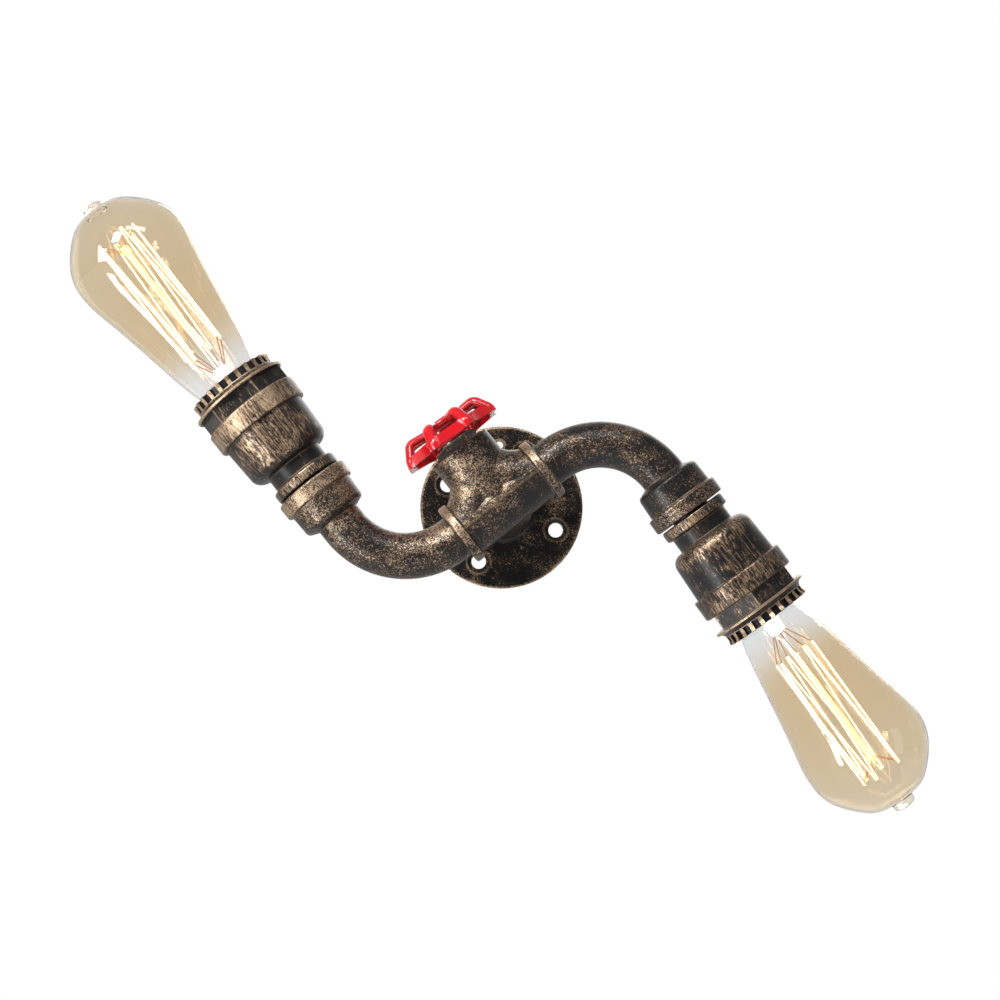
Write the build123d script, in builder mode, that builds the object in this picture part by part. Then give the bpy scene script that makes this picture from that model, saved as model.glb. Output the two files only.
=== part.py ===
from build123d import *
from math import cos, radians, sin, tan
import os

os.makedirs("parts", exist_ok=True)

# Two-lamp wall light built from half-inch malleable pipe fittings.
# The wall is the plane y = 0, the front looks along -Y and +Z is up.
# The origin is the centre of the wall plate's back face.
# Lengths are in millimetres and angles in degrees.

# Overall layout
RUN_ANGLE = 38.5          # slope of the tee's run, up to the right
BEND_ANGLE = {"left": 90.0, "right": 92.4}

# Half-inch pipe thread and its bore
THREAD_R = 10.45
THREAD_FIT = 0.05
THREAD_LENGTH = 12.0
THREAD_SHORT = 0.5        # a screwed end stops short of its socket's depth
PIPE_BORE_R = 8.0

# Wall plate
PLATE_R = 42.0
PLATE_T = 3.0
PLATE_EDGE = 0.9
SCREW_HOLE_R = 3.75
SCREW_HOLE_SINK_R = 5.9
SCREW_PCD_R = 30.4
SCREW_START = 67.2        # first hole, from +X towards +Z
SCREW_COUNT = 4
EARTH_HOLE_R = 2.0
EARTH_HOLE_OUT = 32.4
EARTH_HOLE_ANGLE = 92.0
BOSS_R = 16.0
BOSS_H = 12.0             # from the wall to the boss's face
BOSS_FILLET = 3.0

# Tee
TEE_GAP = 1.0             # between the boss and the tee's rear outlet
TEE_REACH = 28.0          # centre to the end of the run and of the rear outlet
TEE_BODY_R = 14.2
OUTLET_ROOT_R = 14.15
TEE_BEAD_R = 16.5
TEE_BEAD_W = 4.5
TEE_NECK = 4.0            # centre to where an outlet starts to swell
TEE_SWELL = 19.0          # centre to where an outlet has its full radius
OUTLET_R = 16.4
BRANCH_REACH = 33.5
BLEND_R = 29.5            # sweep of the casting between the branch and the run
BLEND_TUBE_R = 13.9
BLEND_ARC = 75.0          # it ends inside the run's bead
SEAM_H = 0.5
SEAM_W = 0.9

# Branch plug
PLUG_HEAD_R = 11.7        # across the corners
PLUG_HEAD_H = 4.4

# Valve spindle, washer, wheel and nut
WHEEL_LEAN = -2.7         # the spindle leans off the branch's line, to the right
SPINDLE_R = 4.0
SPINDLE_FIT = 0.06
SPINDLE_HEAD_R = 6.0
SPINDLE_HEAD_H = 2.0
SPINDLE_SQUARE = 7.0
SQUARE_PLAY = 0.1
SQUARE_SHORT = 0.3        # the square ends below the nut's seat, so the nut pinches
STUD_R = 2.5
STUD_SHOWS = 0.8
RUN_GAP = 0.2
SPOT_R = 6.6
SPOT_SINK = 0.5           # spot face below the plug's top, on the axis
SPOT_APART = 10.0         # from the upper spot face to the lower one
CUTTER_REACH = 10.0       # how far a spot facing cutter sweeps beyond its face
WASHER_R = 6.3
WASHER_T = 1.2
WHEEL_R = 28.2            # over the ribs
SKIRT_R = 27.5
WHEEL_H = 12.8
WHEEL_DROP = 0.4          # skirt's foot below the hub's foot
WHEEL_WALL = 3.0
SKIRT_H = 5.0
RIB_COUNT = 8
RIB_START = 23.0          # first rib, from the front
RIB_R = 2.1               # half of a rib's thickness
RIB_HALF_W = 3.0
SCALLOP_R = 24.0
SCALLOP_DEPTH = 2.4
CREST_R = 21.2
DISC_R = 13.0
DISC_TOP = 12.4
DISC_T = 3.4
HUB_R = 9.2
NUT_SEAT = 8.0            # floor of the hub's pocket, above the wheel's foot
POCKET_R = 7.0
NUT_R = 4.6
NUT_H = 3.2

# Elbows
PIPE_R = 11.6
BEND_R = 39.0
ELBOW_CORNER = {"left": 69.2, "right": 73.0}  # tee centre to the crossing of the axes
ELBOW_ARM = {"left": 66.2, "right": 63.0}     # that crossing to the elbow's mouth
SOCKET_R = 17.1
SOCKET_LENGTH = 21.0
SOCKET_FLARE = 0.5
SOCKET_BAND_R = 19.6
SOCKET_BAND_W = 8.0

# Stations along an arm, all from the elbow's mouth
BELL_START = 0.8
BELL_RING_R = 17.85
BELL_RING_W = 5.4
BELL_NECK_R = 15.35
BELL_SHOULDER = 14.0
BELL_R = 22.1
BELL_END_R = 23.2
BELL_BAND = 38.0
BELL_BAND_R = 25.4
BELL_END = 49.0
BELL_WALL = 3.3
BELL_THREAD_R = 20.5
CAST_RIB_H = 1.0
CAST_RIB_ARC = 9.0
CAST_RIB_SPREAD = 15.0
CAST_RIB_CENTRE = {"left": 7.5, "right": -14.5}
HEX_END = 57.0
HEX_R = 24.5              # across the corners
HEX_TURN = {"left": 21.2, "right": 5.0}
HEX_BORE_R = 17.9
FLANGE_R = 25.7
FLANGE_T = 1.3
FLANK_H = 2.4             # hollow flank between the flange and the teeth
FLANK_R = 3.4
CROWN_END = 65.5
CROWN_R = 22.4
CROWN_LIP_R = 23.1
CROWN_BORE_R = 18.1
TOOTH_COUNT = 24
TOOTH_GAP = 3.7
TOOTH_DEPTH = 1.5
TOOTH_CUTTER = 6.0

# Lamp holder, stations from the crown's end towards the elbow are negative
HOLDER_R = 17.6
HOLDER_BACK = -46.0
HOLDER_FLOOR = -32.8
HOLDER_RIM_R = 19.4
HOLDER_RIM_T = 2.4
RIM_PLAY = 0.1
HOLDER_BORE_R = 15.2
WIRE_HOLE_R = 2.5
SHELL_R = 13.45
SHELL_T = 0.5
SHELL_WAVE = 0.8
SHELL_LIFT = 2.0          # above the porcelain's floor
SHELL_TOP = -9.0
SHELL_TURNS = 6
CONTACT_T = 0.6
CONTACT_GAP = 0.3
CONTACT_W = 5.2
CONTACT_FOOT = 12.0
TERMINAL_OUT = 9.5
TERMINAL_SHANK_R = 1.7
TERMINAL_HEAD_R = 3.2
TERMINAL_HEAD_T = 1.8
TERMINAL_DEPTH = 7.0

# Bulb, stations from the crown's end, positive towards its tip
CAP_R = 13.15
CAP_ROOT = 0.8
CAP_WALL = 0.5
CAP_TOP = -5.0
CAP_FOOT = -27.5
CAP_PITCH = 3.63
CAP_TURNS = 4
CAP_TIP = -31.0
CAP_TIP_R = 4.8
CAP_TIP_T = 0.9
BULB_R = 32.05
BULB_WIDEST = 80.0
BULB_END = 110.3
BULB_TIP = 115.3
BULB_TIP_R = 6.0
BULB_MOUTH_R = 17.1
BULB_NECK_R = 12.4
BULB_NECK_START = -12.0
GLASS_T = 0.9
STEM_R = 4.2
STEM_ROD_R = 1.4
STEM_PINCH = 13.0
STEM_BUTTON = 86.0
STEM_BUTTON_R = 2.3
CAGE_R = 11.0
CAGE_LOW = 22.0
CAGE_HIGH = 94.0
CAGE_STRANDS = 12
CAGE_ARC = 330.0          # the cage is open at its back
STRAND_R = 0.35
HOOK_R = 0.3
HOOK_SHORT = 0.8          # wires end this far from the filament's middle
HOOK_SPREAD = 3.0         # half of the arc over which the filament crosses a hook
BUTTON_ROOT_R = 2.53
PINCH_ROOT = 9.1
PINCH_ROOT_R = 3.82
LEAD_R = 2.4
LEAD_OFFSET = 3.2
LEAD_START = 27.0         # from the wall
LEAD_BEND_R = 8.0
LEAD_ENTRY = 6.0          # into the porcelain

RUN_STANDOFF = BOSS_H + TEE_GAP + TEE_REACH

FRONT = Vector(0, -1, 0)
SIDES = ("left", "right")


def heading(angle):
    """Unit vector in the wall's plane, measured from +X towards +Z."""
    return Vector(cos(radians(angle)), 0, sin(radians(angle)))


class CentreLine:
    """An axis of the light: its start, the way it points and a square direction."""

    def __init__(self, start, along, across=FRONT):
        self.start = start
        self.along = along.normalized()
        self.across = across
        self.axis = Axis(start, self.along)

    def point(self, distance, out=0.0, turn=0.0):
        """Point at a distance along the axis and out from it."""
        return self.start + self.along * distance + self.outward(turn) * out

    def outward(self, turn):
        """The square direction, turned about the axis."""
        return self.across.rotate(Axis((0, 0, 0), self.along), turn)

    def section(self, turn=0.0):
        """Plane through the axis: local x points outwards, local y along."""
        out = self.outward(turn)
        return Plane(origin=self.start, x_dir=out, z_dir=out.cross(self.along))

    def face(self, distance, turn=0.0):
        """Plane square to the axis at a distance along it."""
        return Plane(origin=self.point(distance), x_dir=self.outward(turn), z_dir=self.along)

    def shifted(self, distance):
        """The same axis with its start moved along it."""
        return CentreLine(self.point(distance), self.along, self.across)


def outline(plane, corners):
    """Face bounded by (radius, station, corner radius) triples."""
    with BuildSketch(plane) as drawing:
        with BuildLine():
            FilletPolyline(
                [(radius, station) for radius, station, rounding in corners],
                radius=[rounding for radius, station, rounding in corners],
                close=True,
            )
        make_face()
    return drawing.sketch


def turned(line, corners, mode=Mode.ADD):
    """Full turn of a closed half section about a line."""
    revolve(outline(line.section(), corners), axis=line.axis, mode=mode)


def rod(line, start, end, radius, mode=Mode.ADD):
    """Round bar between two stations of a line."""
    with BuildSketch(line.face(start)) as disc:
        Circle(radius)
    extrude(disc.sketch, amount=end - start, mode=mode)


def save(builder, name):
    """Label a finished piece and write it."""
    builder.part.label = name
    export_step(builder.part, f"parts/{name}.step")


# Axes of the light. The wall axis points from the wall to the front.
wall_line = CentreLine(Vector(0, 0, 0), FRONT, Vector(1, 0, 0))
centre = wall_line.point(RUN_STANDOFF)
branch_line = CentreLine(centre, heading(RUN_ANGLE + 90))
run_lines = {
    "right": CentreLine(centre, heading(RUN_ANGLE)),
    "left": CentreLine(centre, heading(RUN_ANGLE + 180)),
}
rear_line = CentreLine(centre, FRONT * -1, Vector(1, 0, 0))

plug_top = BRANCH_REACH + PLUG_HEAD_H
spindle_line = CentreLine(
    branch_line.point(plug_top - SPOT_SINK), heading(RUN_ANGLE + 90 + WHEEL_LEAN)
)


def mouth_line(side):
    """Axis of an arm, starting at the elbow's mouth and pointing to the bulb."""
    run = run_lines[side]
    run_angle = RUN_ANGLE if side == "right" else RUN_ANGLE + 180
    along = heading(run_angle - BEND_ANGLE[side])
    return CentreLine(run.point(ELBOW_CORNER[side]) + along * ELBOW_ARM[side], along)


# Wall plate: a thin disc with a threaded boss, four countersunk screw holes
# and a small hole for the earth screw.
def make_wall_plate():
    with BuildPart() as wall_plate:
        turned(
            wall_line,
            [
                (PIPE_BORE_R, 0, 0),
                (PLATE_R, 0, PLATE_EDGE / 2),
                (PLATE_R, PLATE_T, PLATE_EDGE),
                (BOSS_R, PLATE_T, BOSS_FILLET),
                (BOSS_R, BOSS_H, PLATE_EDGE),
                (THREAD_R + THREAD_FIT, BOSS_H, 0),
                (THREAD_R + THREAD_FIT, PLATE_T, 0),
                (PIPE_BORE_R, PLATE_T, 0),
            ],
        )
        with Locations(wall_line.face(PLATE_T)):
            with PolarLocations(SCREW_PCD_R, SCREW_COUNT, start_angle=SCREW_START):
                CounterSinkHole(SCREW_HOLE_R, SCREW_HOLE_SINK_R)
            with PolarLocations(EARTH_HOLE_OUT, 1, start_angle=EARTH_HOLE_ANGLE):
                Hole(EARTH_HOLE_R)
    save(wall_plate, "wall_plate")


# Rear nipple: a short length of threaded pipe from the plate to the tee.
def make_rear_nipple():
    with BuildPart() as rear_nipple:
        nipple_end = BOSS_H + TEE_GAP + THREAD_LENGTH
        rod(wall_line, PLATE_T + THREAD_FIT, nipple_end, THREAD_R)
        rod(wall_line, PLATE_T + THREAD_FIT, nipple_end, PIPE_BORE_R, Mode.SUBTRACT)
    save(rear_nipple, "rear_nipple")


# Tee with a side outlet to the wall: beaded run, plain swelling branch that
# sweeps into the run, rear outlet, and the parting line along the front.
def outlet_section(reach):
    """Half section of an outlet that swells from the body to a plain socket."""
    return [
        (0, 0, 0),
        (OUTLET_ROOT_R, 0, 0),
        (OUTLET_ROOT_R, TEE_NECK, 10),
        (OUTLET_R, TEE_SWELL, 10),
        (OUTLET_R, reach, 1.0),
        (0, reach, 0),
    ]


def blend(run):
    """Bend of a round bar from the branch into the run."""
    pivot = branch_line.point(BLEND_R) + run.along * BLEND_R
    turning = run.along.cross(branch_line.along).normalized()
    with BuildSketch(branch_line.face(BLEND_R)) as disc:
        Circle(BLEND_TUBE_R)
    revolve(disc.sketch, axis=Axis(pivot, turning), revolution_arc=BLEND_ARC)


def make_tee():
    with BuildPart() as tee:
        for side in SIDES:
            run = run_lines[side]
            bead_start = TEE_REACH - TEE_BEAD_W
            turned(
                run,
                [
                    (0, 0, 0),
                    (TEE_BODY_R, 0, 0),
                    (TEE_BODY_R, bead_start - 0.4, 1.0),
                    (TEE_BEAD_R, bead_start, 0.6),
                    (TEE_BEAD_R, TEE_REACH, 1.2),
                    (0, TEE_REACH, 0),
                ],
            )
        turned(branch_line, outlet_section(BRANCH_REACH))
        blend(run_lines["left"])
        blend(run_lines["right"])
        turned(rear_line, outlet_section(TEE_REACH))
        seam_length = 2 * (TEE_REACH - TEE_BEAD_W)
        with BuildSketch(Plane(origin=centre, x_dir=run_lines["right"].along, z_dir=FRONT)):
            Rectangle(seam_length, SEAM_W)
        extrude(amount=TEE_BODY_R + SEAM_H)
        for line, reach in (
            (run_lines["left"], TEE_REACH),
            (run_lines["right"], TEE_REACH),
            (branch_line, BRANCH_REACH),
            (rear_line, TEE_REACH),
        ):
            rod(line, 0, reach, PIPE_BORE_R, Mode.SUBTRACT)
            rod(line, reach - THREAD_LENGTH, reach, THREAD_R + THREAD_FIT, Mode.SUBTRACT)
    save(tee, "tee")


# Branch plug: a hexagon-headed plug, drilled for the valve spindle and spot
# faced above and below so that the spindle's washer and head seat square.
def make_branch_plug():
    with BuildPart() as branch_plug:
        thread_start = BRANCH_REACH - THREAD_LENGTH + THREAD_SHORT
        rod(branch_line, thread_start, BRANCH_REACH, THREAD_R)
        with BuildSketch(branch_line.face(BRANCH_REACH)):
            RegularPolygon(PLUG_HEAD_R, 6, rotation=30)
        extrude(amount=PLUG_HEAD_H)
        lowest = -SPOT_APART - CUTTER_REACH
        rod(spindle_line, lowest, CUTTER_REACH, SPINDLE_R + SPINDLE_FIT, Mode.SUBTRACT)
        rod(spindle_line, 0, CUTTER_REACH, SPOT_R, Mode.SUBTRACT)
        rod(spindle_line, lowest, -SPOT_APART, SPOT_R, Mode.SUBTRACT)
    save(branch_plug, "branch_plug")


# Valve spindle: headed below the plug, square through the wheel, threaded on top.
def make_spindle():
    with BuildPart() as valve_spindle:
        head_top = -SPOT_APART - RUN_GAP
        rod(spindle_line, head_top - SPINDLE_HEAD_H, head_top, SPINDLE_HEAD_R)
        rod(spindle_line, head_top, RUN_GAP + WASHER_T, SPINDLE_R)
        with BuildSketch(spindle_line.face(RUN_GAP + WASHER_T)):
            Rectangle(SPINDLE_SQUARE - SQUARE_PLAY, SPINDLE_SQUARE - SQUARE_PLAY)
        extrude(amount=NUT_SEAT - WHEEL_DROP - SQUARE_SHORT)
        stud_end = RUN_GAP + WASHER_T - WHEEL_DROP + NUT_SEAT + NUT_H + STUD_SHOWS
        rod(spindle_line, RUN_GAP, stud_end, STUD_R)
    save(valve_spindle, "valve_spindle")


def make_wheel_washer():
    with BuildPart() as wheel_washer:
        rod(spindle_line, RUN_GAP, RUN_GAP + WASHER_T, WASHER_R)
        rod(spindle_line, RUN_GAP, RUN_GAP + WASHER_T, SPINDLE_R + THREAD_FIT, Mode.SUBTRACT)
    save(wheel_washer, "wheel_washer")


# Valve wheel: a scalloped skirt, eight oval ribs that climb over the rim and
# run in to a disc, and a hub with a square hole and a pocket for the nut.
def make_valve_wheel():
    foot = spindle_line.shifted(RUN_GAP + WASHER_T - WHEEL_DROP)
    dome = [
        (0, 0, 0),
        (SKIRT_R, 0, 0.6),
        (SKIRT_R - 0.5, SKIRT_H * 0.5, 8),
        (SKIRT_R - 3.2, WHEEL_H, 6),
        (0, WHEEL_H, 0),
    ]
    with BuildPart() as valve_wheel:
        with BuildSketch(foot.face(0)):
            Circle(SKIRT_R)
            scallop_out = SKIRT_R - SCALLOP_DEPTH + SCALLOP_R
            scallop_start = RIB_START + 180 / RIB_COUNT
            with PolarLocations(scallop_out, RIB_COUNT, start_angle=scallop_start):
                Circle(SCALLOP_R, mode=Mode.SUBTRACT)
            offset(amount=-WHEEL_WALL, kind=Kind.INTERSECTION, mode=Mode.SUBTRACT)
        extrude(amount=SKIRT_H)
        turned(foot, dome, Mode.INTERSECT)
        rib_out = WHEEL_R - RIB_R
        rib_top = WHEEL_H - RIB_R
        for number in range(RIB_COUNT):
            turn = RIB_START + number * 360 / RIB_COUNT
            with BuildLine(foot.section(turn)) as rib_path:
                FilletPolyline(
                    (rib_out, -RIB_R),
                    (rib_out, SKIRT_H * 0.6),
                    (CREST_R, rib_top),
                    (DISC_R - RIB_R, DISC_TOP - RIB_R),
                    radius=4.0,
                )
            rib_foot = Plane(
                origin=foot.point(-RIB_R, rib_out, turn),
                x_dir=foot.outward(turn + 90),
                z_dir=foot.along,
            )
            with BuildSketch(rib_foot):
                Ellipse(RIB_HALF_W, RIB_R)
            sweep(path=rib_path.wire())
        rod(foot, 0, WHEEL_H, WHEEL_R + 1, Mode.INTERSECT)
        turned(
            foot,
            [
                (0, WHEEL_DROP, 0),
                (HUB_R, WHEEL_DROP, 0.8),
                (HUB_R, DISC_TOP - DISC_T, 1.5),
                (DISC_R, DISC_TOP - DISC_T, 1.6),
                (DISC_R, DISC_TOP, 1.6),
                (0, DISC_TOP, 0),
            ],
        )
        rod(foot, NUT_SEAT, WHEEL_H, POCKET_R, Mode.SUBTRACT)
        with BuildSketch(foot.face(0)):
            Rectangle(SPINDLE_SQUARE, SPINDLE_SQUARE)
        extrude(amount=NUT_SEAT + 1, mode=Mode.SUBTRACT)
    save(valve_wheel, "valve_wheel")


def make_wheel_nut():
    seat = RUN_GAP + WASHER_T - WHEEL_DROP + NUT_SEAT
    with BuildPart() as wheel_nut:
        with BuildSketch(spindle_line.face(seat)):
            RegularPolygon(NUT_R, 6)
            Circle(STUD_R + THREAD_FIT, mode=Mode.SUBTRACT)
        extrude(amount=NUT_H)
    save(wheel_nut, "wheel_nut")


# Elbow: a long bend with a threaded end in the tee and a banded socket.
def bent_bar(side, start, radius, mode=Mode.ADD):
    """Round bar along the run from a station, round the bend to the mouth."""
    run = run_lines[side]
    mouth = mouth_line(side)
    bend = BEND_ANGLE[side]
    tangent = BEND_R * tan(radians(bend / 2))
    bend_start = ELBOW_CORNER[side] - tangent
    turning = run.along.cross(mouth.along).normalized()
    bend_centre = run.point(bend_start) + turning.cross(run.along) * BEND_R
    rod(run, start, bend_start, radius, mode)
    with BuildSketch(run.face(bend_start)) as disc:
        Circle(radius)
    revolve(disc.sketch, axis=Axis(bend_centre, turning), revolution_arc=bend, mode=mode)
    rod(mouth, tangent - ELBOW_ARM[side], 0, radius, mode)


def make_elbow(side):
    run = run_lines[side]
    mouth = mouth_line(side)
    start = TEE_REACH - THREAD_LENGTH + THREAD_SHORT
    with BuildPart() as elbow:
        bent_bar(side, start, PIPE_R)
        turned(
            run,
            [
                (THREAD_R, start - 1, 0),
                (PIPE_R + 2, start - 1, 0),
                (PIPE_R + 2, TEE_REACH + 0.3, 0),
                (THREAD_R, TEE_REACH + 0.3, 0),
            ],
            Mode.SUBTRACT,
        )
        turned(
            mouth,
            [
                (0, -SOCKET_LENGTH - 1.2, 0),
                (PIPE_R, -SOCKET_LENGTH - 1.2, 0),
                (SOCKET_R, -SOCKET_LENGTH + 1.2, 2.4),
                (SOCKET_R + SOCKET_FLARE, -SOCKET_BAND_W, 0.6),
                (SOCKET_BAND_R, -SOCKET_BAND_W, 1.0),
                (SOCKET_BAND_R, 0, 1.2),
                (0, 0, 0),
            ],
        )
        bent_bar(side, start, PIPE_BORE_R, Mode.SUBTRACT)
        rod(mouth, -THREAD_LENGTH, 0, THREAD_R + THREAD_FIT, Mode.SUBTRACT)
    save(elbow, f"elbow_{side}")


# Arm nipple: joins the elbow's socket to the bell.
def make_nipple(side):
    mouth = mouth_line(side)
    reach = THREAD_LENGTH - THREAD_SHORT
    with BuildPart() as nipple:
        rod(mouth, -reach, reach + BELL_START, THREAD_R)
        rod(mouth, -reach, reach + BELL_START, PIPE_BORE_R, Mode.SUBTRACT)
    save(nipple, f"nipple_{side}")


# Bell: the reducing socket that houses the lamp holder. A bead, a neck, a round
# shoulder, a slightly flared body with two pairs of cast ribs and a wide band.
def make_bell(side):
    mouth = mouth_line(side)
    with BuildPart() as bell:
        ring_end = BELL_START + BELL_RING_W
        turned(
            mouth,
            [
                (THREAD_R + THREAD_FIT, BELL_START, 0),
                (BELL_RING_R, BELL_START, 1.2),
                (BELL_RING_R, ring_end, 1.2),
                (BELL_NECK_R, ring_end + 0.6, 0.6),
                (BELL_NECK_R, BELL_SHOULDER, 0.8),
                (BELL_R, BELL_SHOULDER, 6.0),
                (BELL_END_R, BELL_BAND, 0),
                (BELL_BAND_R, BELL_BAND, 1.0),
                (BELL_BAND_R, BELL_END, 1.0),
                (BELL_THREAD_R + THREAD_FIT, BELL_END, 0),
                (BELL_THREAD_R + THREAD_FIT, BELL_BAND - 1, 0),
                (BELL_END_R - BELL_WALL, BELL_BAND - 2, 0),
                (BELL_R - BELL_WALL, BELL_SHOULDER + BELL_WALL, 4.0),
                (PIPE_BORE_R, BELL_SHOULDER + BELL_WALL, 0),
                (PIPE_BORE_R, THREAD_LENGTH + BELL_START, 0),
                (THREAD_R + THREAD_FIT, THREAD_LENGTH + BELL_START, 0),
            ],
        )
        rib_start = BELL_SHOULDER + 0.5
        rib_end = BELL_BAND + 1
        for opposite in (0, 180):
            for spread in (-CAST_RIB_SPREAD, CAST_RIB_SPREAD):
                turn = CAST_RIB_CENTRE[side] + opposite + spread - CAST_RIB_ARC / 2
                with BuildSketch(mouth.section(turn)) as rib:
                    with BuildLine():
                        FilletPolyline(
                            (BELL_NECK_R - 1, rib_start),
                            (BELL_R + CAST_RIB_H, rib_start),
                            (BELL_END_R + CAST_RIB_H, rib_end),
                            (BELL_R - 2, rib_end),
                            (BELL_R - 2, BELL_SHOULDER + 6),
                            (BELL_NECK_R - 1, BELL_SHOULDER + 2),
                            radius=[0, 6.0, 0, 0, 0, 0],
                            close=True,
                        )
                    make_face()
                revolve(rib.sketch, axis=mouth.axis, revolution_arc=CAST_RIB_ARC)
    save(bell, f"bell_{side}")


# Hexagon bushing: screws into the bell's band and carries the lamp holder.
def make_hex_bush(side):
    mouth = mouth_line(side)
    with BuildPart() as hex_bush:
        rod(mouth, BELL_BAND + 1, BELL_END, BELL_THREAD_R)
        with BuildSketch(mouth.face(BELL_END, HEX_TURN[side])):
            RegularPolygon(HEX_R, 6)
        extrude(amount=HEX_END - BELL_END)
        rod(mouth, BELL_BAND + 1, HEX_END, HEX_BORE_R, Mode.SUBTRACT)
    save(hex_bush, f"hex_bush_{side}")


# Crown ring: a thin flange and a hollow-sided ring cut with teeth, which traps
# the lamp holder's rim against the bushing.
def make_crown_ring(side):
    mouth = mouth_line(side)
    pocket = HEX_END + HOLDER_RIM_T + RIM_PLAY
    with BuildPart() as crown_ring:
        with BuildSketch(mouth.section()):
            with BuildLine():
                flange_top = (FLANGE_R, HEX_END + FLANGE_T)
                crown_foot = (CROWN_R, HEX_END + FLANGE_T + FLANK_H)
                Polyline(
                    crown_foot,
                    (CROWN_R, CROWN_END - 2.5),
                    (CROWN_LIP_R, CROWN_END - 0.4),
                    (CROWN_LIP_R - 0.5, CROWN_END),
                    (0, CROWN_END),
                    (0, HEX_END),
                    (FLANGE_R - 0.4, HEX_END),
                    (FLANGE_R, HEX_END + 0.4),
                    flange_top,
                )
                RadiusArc(flange_top, crown_foot, FLANK_R)
            make_face()
        revolve(axis=mouth.axis)
        with BuildSketch(mouth.face(HEX_END + FLANGE_T + FLANK_H + 0.2)):
            cutter_r = CROWN_R - TOOTH_DEPTH + TOOTH_CUTTER / 2
            with PolarLocations(cutter_r, TOOTH_COUNT, start_angle=180 / TOOTH_COUNT):
                Rectangle(TOOTH_CUTTER, TOOTH_GAP)
        extrude(amount=CROWN_END, mode=Mode.SUBTRACT)
        rod(mouth, HEX_END, CROWN_END, CROWN_BORE_R, Mode.SUBTRACT)
        rod(mouth, HEX_END, pocket, HOLDER_RIM_R + RIM_PLAY, Mode.SUBTRACT)
    save(crown_ring, f"crown_ring_{side}")


# Lamp holder: the porcelain body, its brass screw shell, the sprung centre
# contact and the two terminal screws on its back.
def make_lamp_holder(side):
    crown = mouth_line(side).shifted(CROWN_END)
    rim_back = HEX_END - CROWN_END
    with BuildPart() as lamp_holder:
        turned(
            crown,
            [
                (WIRE_HOLE_R, HOLDER_BACK, 0),
                (HOLDER_R - 1, HOLDER_BACK, 1.5),
                (HOLDER_R, HOLDER_FLOOR, 0),
                (HOLDER_R, rim_back, 0),
                (HOLDER_RIM_R, rim_back, 0.3),
                (HOLDER_RIM_R, rim_back + HOLDER_RIM_T, 0.3),
                (HOLDER_BORE_R, rim_back + HOLDER_RIM_T, 0.5),
                (HOLDER_BORE_R, HOLDER_FLOOR, 0),
                (WIRE_HOLE_R, HOLDER_FLOOR, 0),
            ],
        )
        for turn in (90, 270):
            terminal = CentreLine(crown.point(0, TERMINAL_OUT, turn), crown.along, crown.across)
            depth = HOLDER_BACK + TERMINAL_DEPTH
            rod(terminal, HOLDER_BACK, depth, TERMINAL_SHANK_R + THREAD_FIT, Mode.SUBTRACT)
    save(lamp_holder, f"lamp_holder_{side}")


def wave(radius, start, height, turns, depth):
    """Corners of a rolled thread between two roots: crests at the radius."""
    pitch = height / turns
    rounding = pitch * 0.25
    corners = []
    for number in range(turns):
        foot = start + number * pitch
        if number > 0:
            corners.append((radius - depth, foot, rounding))
        corners.append((radius, foot + pitch * 0.35, rounding))
        corners.append((radius, foot + pitch * 0.65, rounding))
    return corners


def make_screw_shell(side):
    crown = mouth_line(side).shifted(CROWN_END)
    start = HOLDER_FLOOR + SHELL_LIFT
    with BuildPart() as screw_shell:
        crest = SHELL_R + SHELL_WAVE + SHELL_T
        ridges = wave(crest, start, SHELL_TOP - start, SHELL_TURNS, SHELL_WAVE)
        furrows = [(radius - SHELL_T, station, rounding) for radius, station, rounding in ridges]
        turned(
            crown,
            [(SHELL_R, start, 0), (SHELL_R + SHELL_T, start, 0)]
            + ridges
            + [(SHELL_R + SHELL_T, SHELL_TOP, 0), (SHELL_R, SHELL_TOP, 0)]
            + furrows[::-1],
        )
    save(screw_shell, f"screw_shell_{side}")


def make_centre_contact(side):
    crown = mouth_line(side).shifted(CROWN_END)
    tongue = CAP_TIP - CONTACT_GAP - CONTACT_T
    with BuildPart() as centre_contact:
        with BuildSketch(crown.section()) as strip:
            with BuildLine():
                Polyline(
                    (WIRE_HOLE_R + 0.6, HOLDER_FLOOR),
                    (CONTACT_FOOT, HOLDER_FLOOR),
                    (CONTACT_FOOT, HOLDER_FLOOR + CONTACT_T),
                    (WIRE_HOLE_R + 1.8, HOLDER_FLOOR + CONTACT_T),
                    (2.2, tongue + CONTACT_T),
                    (-3, tongue + CONTACT_T),
                    (-3, tongue),
                    (2.0, tongue),
                    close=True,
                )
            make_face()
        extrude(strip.sketch, amount=CONTACT_W / 2, both=True)
    save(centre_contact, f"centre_contact_{side}")


def make_terminal_screws(side):
    crown = mouth_line(side).shifted(CROWN_END)
    with BuildPart() as terminal_screws:
        for turn in (90, 270):
            terminal = CentreLine(crown.point(0, TERMINAL_OUT, turn), crown.along, crown.across)
            depth = HOLDER_BACK + TERMINAL_DEPTH
            rod(terminal, HOLDER_BACK - TERMINAL_HEAD_T, HOLDER_BACK, TERMINAL_HEAD_R)
            rod(terminal, HOLDER_BACK, depth - THREAD_SHORT, TERMINAL_SHANK_R)
    save(terminal_screws, f"terminal_screws_{side}")


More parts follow.
